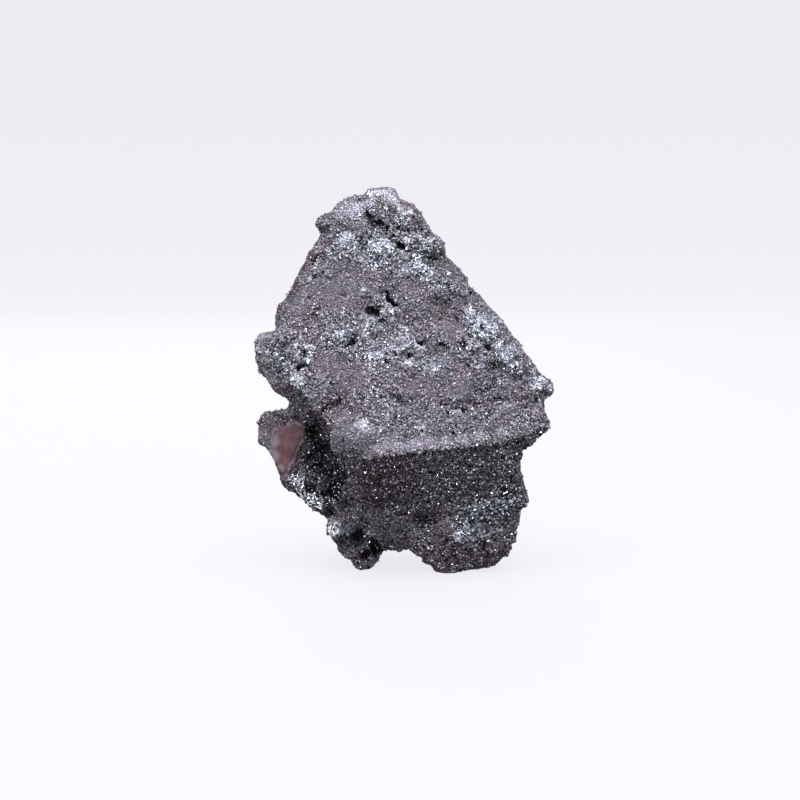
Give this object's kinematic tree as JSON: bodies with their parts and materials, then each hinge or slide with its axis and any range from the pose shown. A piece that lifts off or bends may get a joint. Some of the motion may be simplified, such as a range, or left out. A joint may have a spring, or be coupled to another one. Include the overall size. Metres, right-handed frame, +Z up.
{
  "type": "hematite pseudomorph",
  "caption": "Natural crystal group with a broad sloping octahedral face over a sharp ridge, a wing and a lobe on its left, and a lumpy foot that it stands on.",
  "frame": {"origin": "middle of the footprint, on the plane of the flats that the stone stands on", "axes": "+Z up, the longest extent; +X to the right of the broad sloping display face; +Y from that face towards the back, the shortest extent"},
  "size_m": [0.028, 0.0228, 0.0357],
  "materials": {
    "hematite": "dark steel-grey metallic crust of small sparkling crystals, with a purple cast where it is dull"
  },
  "bodies": {
    "root": {"pseudomorph": "hematite"}
  },
  "joints": []
}
